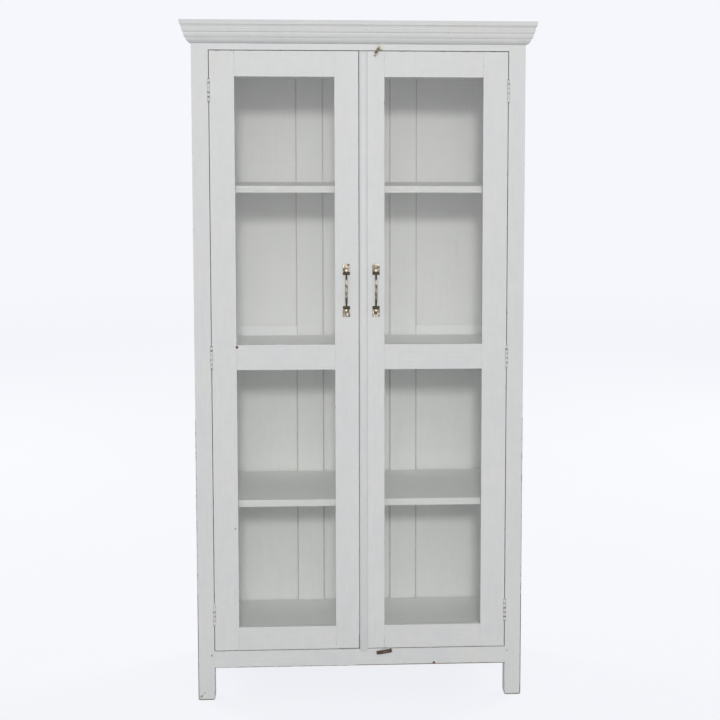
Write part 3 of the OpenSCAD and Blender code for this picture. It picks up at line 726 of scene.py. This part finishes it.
def slotted(bm, at, outward, turn, profile, slot_depth, steps=36):
    """A turned screw head with a slot sawn across its face.
    The profile runs from the buried end to the middle of the face, heights outward from at."""
    rotation = facing(outward) @ Matrix.Rotation(turn, 3, "Z")
    part = bmesh.new()
    lathe(part, profile, Vector(), steps=steps)
    for x in (-SCREW_SLOT / 2, SCREW_SLOT / 2):
        everything = part.verts[:] + part.edges[:] + part.faces[:]
        bmesh.ops.bisect_plane(part, geom=everything, plane_co=(x, 0, 0), plane_no=(1, 0, 0))
    sunk = max(height for radius, height in profile) - slot_depth
    for v in part.verts:
        if abs(v.co.x) < SCREW_SLOT / 2 + 1e-7 and v.co.z > sunk:
            v.co.z = sunk
    kept = {v: bm.verts.new(Vector(at) + rotation @ v.co) for v in part.verts}
    for f in part.faces:
        bm.faces.new([kept[v] for v in f.verts])
    part.free()


def countersunk(head_r, length):
    """The profile of a wood screw from its point to the middle of its flat head."""
    shank = head_r * 0.47
    return [
        (0.0, -length),
        (shank * 0.5, -length * 0.92),
        (shank, -length * 0.7),
        (shank, -head_r * 0.6),
        (head_r * 0.99, -0.00012),
        (head_r * 0.93, 0.0),
        (head_r * 0.5, 0.0),
        (0.0, 0.0),
    ]


def reach(points, middle, axis, at):
    """How far the points at one end lie from the axis, squared."""
    there = [p for p in points if abs(p[axis] - at) < 1e-5]
    return max((p - middle).length_squared - (p - middle)[axis] ** 2 for p in there)


def wood_screws(node, body, slot):
    """Every countersunk screw of a CAD node, with its head at the thicker end."""
    bm = bmesh.new()
    for points in solids(node):
        low = Vector([min(p[i] for p in points) for i in range(3)])
        high = Vector([max(p[i] for p in points) for i in range(3)])
        middle = (low + high) / 2
        axis = max(range(3), key=lambda i: (high - low)[i])
        at_high = reach(points, middle, axis, high[axis])
        at_low = reach(points, middle, axis, low[axis])
        sign = 1 if at_high > at_low else -1
        at = middle.copy()
        at[axis] = high[axis] if sign > 0 else low[axis]
        outward = Vector((0, 0, 0))
        outward[axis] = sign
        profile = countersunk(math.sqrt(max(at_high, at_low)), (high - low)[axis])
        slotted(bm, at, outward, random.uniform(0, math.pi), profile, 0.0007, 24)
    return new_piece(node + "_slotted", bm, steel, body, slot, node)


random.seed(7)
wood_screws("frame_hinge_screws", "carcass", "steel_screws")
wood_screws("left_door_screws", "left_door", "steel_screws")
wood_screws("right_door_screws", "right_door", "steel_screws")

# ------------------------------------------------------------------ handles

# The thickness of the end plates, and the bar's radius at its middle.
PLATE_THICK = 0.0025
BAR_R = 0.0033


def end_plate(bm, low, high, end):
    """A thin plate with a ridged collar and a domed boss, at the top (1) or the bottom (-1)."""
    middle = (low + high) / 2
    face = high.y
    half_width = (high.x - low.x) / 2
    half_length = (high.z - low.z) / 2
    inner = half_length - PLATE

    def span(z0, z1, half, depth, radius):
        zs = sorted((middle.z + end * z0, middle.z + end * z1))
        corner = Vector((middle.x - half, face - depth, zs[0]))
        block(bm, corner, Vector((middle.x + half, face, zs[1])), radius)

    span(inner + 0.001, half_length, half_width, PLATE_THICK, 0.0008)
    span(inner, inner + COLLAR, half_width, 0.0062, 0.0016)
    span(inner + 0.0016, inner + COLLAR - 0.0016, half_width * 0.94, 0.0070, 0.0008)
    boss = Vector((middle.x, face - 0.0012, middle.z + end * (inner + COLLAR + BOSS_UP)))
    lathe(bm, [(0.0, -0.001)] + dome(0.0066, 0.0062), boss, facing((0, -1, 0)))


def bowed_bar(bm, low, high, steps=48):
    """A round bar on an arc from collar to collar, thinner towards its ends."""
    middle = (low + high) / 2
    foot = (high.z - low.z) / 2 - PLATE + COLLAR / 2
    rise = high.y - low.y - BAR_R - PLATE_THICK
    bow_r = (foot * foot + rise * rise) / (2 * rise)
    half_angle = math.asin(foot / bow_r)
    points, radii = [], []
    for i in range(steps + 1):
        t = 2 * i / steps - 1
        a = t * half_angle
        depth = rise + PLATE_THICK - bow_r + bow_r * math.cos(a)
        points.append(Vector((middle.x, high.y - depth, middle.z + bow_r * math.sin(a))))
        neck = max(0.0, abs(t) - 0.55) / 0.45
        radii.append(BAR_R - 0.0011 * math.sin(min(neck, 1.0) * math.pi / 2))
    sweep(bm, points, radii)


def bow_handle(node, body):
    """A cast bow pull: end plates with a domed boss and a ridged collar, and a round bowed bar."""
    low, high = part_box(node)
    bm = bmesh.new()
    for end in (-1, 1):
        end_plate(bm, low, high, end)
    bowed_bar(bm, low, high)
    made = new_piece(node + "_casting", bm, brass, body, "aged_brass", node)
    return cast(made, 0.00045, 4)


bow_handle("left_handle", "left_door")
bow_handle("right_handle", "right_door")

# ------------------------------------------------------------------ hook, stud and turn button

# The ribs of the hook's shank: how many, how far apart, and how far the first is from the eye's middle.
RIBS = 3
RIB_PITCH = 0.0052
FIRST_RIB = 0.0060
LAST_RIB = FIRST_RIB + (RIBS - 1) * RIB_PITCH


def ribbed_shank():
    """The profile of the hook's shank, by its distance from the middle of the eye."""
    profile = [(0.0, -0.0044), (0.0022, -0.0040), (0.0027, -0.0030), (0.0026, FIRST_RIB - 0.0016)]
    for i in range(RIBS):
        at = FIRST_RIB + i * RIB_PITCH
        wide = 0.0050 + 0.0002 * (i % 2)
        profile += [(0.0030, at - 0.0012), (wide - 0.0006, at - 0.0010), (wide, at - 0.0002)]
        profile += [(wide - 0.0005, at + 0.0009), (0.0030, at + 0.0012)]
    return profile + [(0.0, LAST_RIB + 0.0014)]


def wire_curl(bm, root, aim, middle, radius=0.0094, wire=0.0011, steps=40):
    """A wire from the end of the shank, curled round the stud and thinner towards its tip."""
    start, stop = math.radians(-100), math.radians(62)
    points, radii = [], []
    for i in range(steps + 1):
        t = i / steps
        a = start + (stop - start) * t
        points.append(middle + Vector((math.cos(a), 0, math.sin(a))) * radius)
        radii.append(wire * (1.0 - 0.35 * t * t))
    sweep(bm, [root, (root + points[0]) / 2 + aim * 0.0008] + points, [0.0014, 0.0013] + radii)


def door_hook(node, body):
    """A cast hook: a round eye, a ribbed shank that leans to the stud, and a wire curl."""
    low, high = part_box(node)
    pivot = centre("hook_pivot")
    stud = centre("latch_pin")
    depth = (low.y + high.y) / 2
    eye = Vector((pivot.x, depth, pivot.z))
    aim = Vector((stud.x - pivot.x, 0, stud.z - pivot.z)).normalized()
    ring = [(0.0, -0.0024), (0.0030, -0.0024), (0.0039, -0.0018), (0.0042, 0.0)]
    ring += [(0.0039, 0.0018), (0.0030, 0.0024), (0.0, 0.0024)]
    bm = bmesh.new()
    lathe(bm, ring, eye, facing((0, 1, 0)))
    lathe(bm, ribbed_shank(), eye, facing(aim))
    wire_curl(bm, eye + aim * LAST_RIB, aim, Vector((stud.x + 0.0008, depth, stud.z + 0.0016)))
    made = new_piece(node + "_casting", bm, hook_brass, body, "hook_brass", node)
    return cast(made, 0.00024, 2)


def round_head(bm, node, radius, height, turn, shank_r, collar=None):
    """A round-headed screw that fills a CAD node's box from front to back. The collar behind the head,
    if there is one, is (radius, front, back), with its faces so far before the cabinet's middle."""
    low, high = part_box(node)
    at = centre(node)
    at.y = low.y + height
    length = high.y - at.y
    profile = [(0.0, -length), (shank_r, -length * 0.96), (shank_r, -0.0001), (radius, 0.0)]
    profile += dome(radius, height)[1:]
    slotted(bm, at, (0, -1, 0), turn, profile, height * 0.45)
    if collar:
        collar_r, front, back = collar
        ring = [(0.0, front), (collar_r * 0.9, front), (collar_r, front - 0.0004)]
        ring += [(collar_r, back + 0.0004), (collar_r * 0.9, back), (0.0, back)]
        base = centre(node)
        base.y = 0
        lathe(bm, ring, base, facing((0, -1, 0)))


def latches():
    """The hook, the screw that it turns on, the stud that it catches, and the button's screw."""
    door_hook("door_hook", "hook")
    bm = bmesh.new()
    spacer = (0.0040, -front_y + 0.0062, -front_y)
    round_head(bm, "hook_pivot", 0.0036, 0.0018, 0.5, 0.0015, spacer)
    new_piece("hook_pivot_screw", bm, hook_brass, "right_door", "hook_brass", "hook_pivot")
    bm = bmesh.new()
    round_head(bm, "latch_pin", 0.0032, 0.0016, 1.2, 0.0018)
    new_piece("latch_pin_stud", bm, hook_brass, "carcass", "hook_brass", "latch_pin")
    bm = bmesh.new()
    round_head(bm, "button_screw", 0.0033, 0.0018, 0.9, 0.0019)
    new_piece("button_screw_slotted", bm, dull_steel, "carcass", "steel_screws", "button_screw")


latches()


def turn_button(node, body, length=0.044, width=0.0105, tilt=9):
    """A hand-cut wooden turn button, slightly uneven, with rounded edges, tilted by some degrees."""
    low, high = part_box(node)
    half = Vector((length, high.y - low.y, width)) / 2
    bm = bmesh.new()
    block(bm, -half, half, 0.0014, 3)
    long_edges = [e for e in bm.edges if e.calc_length() > 0.003]
    bmesh.ops.subdivide_edges(bm, edges=long_edges, cuts=7, use_grid_fill=True)
    for v in bm.verts:
        v.co.z *= 1.0 - 0.10 * (v.co.x / half.x) ** 2
        v.co += v.co.normalized() * (noise.noise(v.co * 160.0) - 0.4) * 0.00045
    turned = Matrix.Rotation(-math.radians(tilt), 3, "Y")
    bmesh.ops.rotate(bm, cent=(0, 0, 0), matrix=turned, verts=bm.verts)
    bmesh.ops.translate(bm, vec=centre(node), verts=bm.verts)
    return new_piece(node + "_carved", bm, button_wood, body, "dark_wood", node)


turn_button("turn_button", "button")

# ------------------------------------------------------------------ floor, light and camera


def studio_floor():
    """A wide pale floor that meets the backdrop without an edge."""
    bm = bmesh.new()
    bmesh.ops.create_circle(bm, cap_ends=True, segments=96, radius=120.0)
    mesh = bpy.data.meshes.new("studio_floor")
    bm.to_mesh(mesh)
    bm.free()
    mesh.materials.append(pale_floor("studio_floor", 0.90, 0.957))
    floor = bpy.data.objects.new("studio_floor", mesh)
    bpy.context.scene.collection.objects.link(floor)


def studio_sky():
    """An even sky: the backdrop where it is looked at or mirrored, and a soft fill elsewhere."""
    world = bpy.data.worlds.new("studio_sky")
    bpy.context.scene.world = world
    world.use_nodes = True
    tree = world.node_tree
    tree.nodes.clear()
    seen = tree.nodes.new("ShaderNodeBackground")
    seen.inputs[0].default_value = (*BACKDROP, 1.0)
    seen.inputs[1].default_value = 1.0
    fill = tree.nodes.new("ShaderNodeBackground")
    fill.inputs[0].default_value = (0.97, 0.985, 1.0, 1.0)
    fill.inputs[1].default_value = 0.40
    path = tree.nodes.new("ShaderNodeLightPath")
    looked_at = tree.nodes.new("ShaderNodeMath")
    looked_at.operation = "MAXIMUM"
    mix = tree.nodes.new("ShaderNodeMixShader")
    out = tree.nodes.new("ShaderNodeOutputWorld")
    tree.links.new(path.outputs["Is Camera Ray"], looked_at.inputs[0])
    tree.links.new(path.outputs["Is Glossy Ray"], looked_at.inputs[1])
    tree.links.new(looked_at.outputs[0], mix.inputs[0])
    tree.links.new(fill.outputs[0], mix.inputs[1])
    tree.links.new(seen.outputs[0], mix.inputs[2])
    tree.links.new(mix.outputs[0], out.inputs[0])


def lamp(name, place, aim, size, power):
    """A round area lamp aimed at a point on the cabinet's axis."""
    data = bpy.data.lights.new(name, "AREA")
    data.shape = "DISK"
    data.size = size
    data.energy = power
    data.color = (1.0, 0.988, 0.98)
    o = bpy.data.objects.new(name, data)
    o.location = place
    o.rotation_euler = (Vector(aim) - Vector(place)).to_track_quat("-Z", "Y").to_euler()
    bpy.context.scene.collection.objects.link(o)


def camera():
    """The photograph's viewpoint: nearly head on, from eye height, turned and tipped slightly."""
    data = bpy.data.cameras.new("camera")
    data.sensor_width = 36.0
    data.lens = 78.07
    data.shift_x = -0.0833
    data.shift_y = -0.0875
    data.clip_end = 200.0
    o = bpy.data.objects.new("camera", data)
    turned = Matrix.Rotation(math.radians(-3.517), 4, "Z")
    tipped = Matrix.Rotation(math.radians(90.0 - 5.679), 4, "X")
    rolled = Matrix.Rotation(math.radians(0.121), 4, "Z")
    eye = Matrix.Translation((-0.0976, front_y - 4.3093, 1.5732))
    o.matrix_world = eye @ turned @ tipped @ rolled
    bpy.context.scene.collection.objects.link(o)
    bpy.context.scene.camera = o


studio_floor()
studio_sky()
lamp("key", (-0.10, -8.6, 3.5), (0, 0, 1.0), 0.8, 215.0)
lamp("front_fill", (0.0, -6.5, 2.2), (0, 0, 1.1), 6.0, 75.0)
lamp("left_fill", (-4.5, 3.6, 3.2), (0, 0, 0.9), 2.2, 190.0)
lamp("right_fill", (4.5, 3.6, 3.2), (0, 0, 0.9), 2.2, 190.0)
camera()
bpy.context.scene.view_settings.view_transform = "Standard"
bpy.context.scene.view_settings.look = "None"
